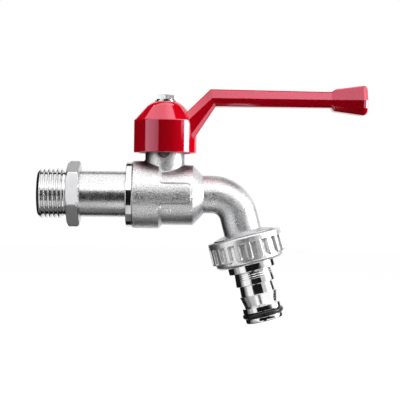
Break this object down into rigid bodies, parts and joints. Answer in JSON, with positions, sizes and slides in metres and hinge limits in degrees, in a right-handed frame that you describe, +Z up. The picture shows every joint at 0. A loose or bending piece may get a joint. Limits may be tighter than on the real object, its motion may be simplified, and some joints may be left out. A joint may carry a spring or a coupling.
{
  "type": "garden ball valve",
  "caption": "Lever ball valve with a male threaded inlet, a bent spout, a ribbed union nut and a stepped push-on hose tail with an O-ring.",
  "frame": {"origin": "on the inlet's axis, at the end of its full thread", "axes": "+X along the inlet with the flow, +Z up along the stem, lever along +X when open"},
  "size_m": [0.1367, 0.0308, 0.0998],
  "materials": {
    "plated_brass": "nickel plated over a blasted forging",
    "polished_chrome": "polished chrome plate",
    "red_enamel": "glossy red enamel on a die casting",
    "zinc_steel": "bright zinc plated",
    "bare_brass": "turned brass",
    "ptfe": "white PTFE",
    "black_rubber": "black nitrile rubber"
  },
  "bodies": {
    "valve": {"inlet_tail": "plated_brass", "valve_body": "plated_brass", "tail_seal": "black_rubber", "inlet_seat": "ptfe", "outlet_seat": "ptfe", "thrust_washer": "ptfe", "stem_packing": "ptfe", "packing_gland": "bare_brass", "gland_nut": "bare_brass"},
    "lever": {"lever_handle": "red_enamel", "handle_screw": "zinc_steel", "flat_washer": "zinc_steel", "lock_washer": "zinc_steel", "stem": "bare_brass", "stem_o_ring": "black_rubber", "ball": "polished_chrome"},
    "tail": {"hose_tail": "polished_chrome", "outlet_washer": "black_rubber", "nozzle_o_ring": "black_rubber"},
    "nut": {"union_nut": "plated_brass"}
  },
  "joints": [
    {"name": "lever_turn", "type": "hinge", "parent": "valve", "child": "lever", "pos_m": [0.0423, 0, 0.02], "axis": [0, 0, -1], "range_deg": [0, 90]},
    {"name": "tail_slide", "type": "slide", "parent": "valve", "child": "tail", "axis": [0.2588, 0, -0.9659], "range_m": [0, 0.0055]},
    {"name": "nut_turn", "type": "hinge", "parent": "tail", "child": "nut", "pos_m": [0.07715, 0, -0.02232], "axis": [0.2588, 0, -0.9659], "range_deg": [0, 1080]}
  ],
  "couplings": [
    {"joint": "tail_slide", "follows": "nut_turn", "m_per_rad": 0.00028876}
  ]
}
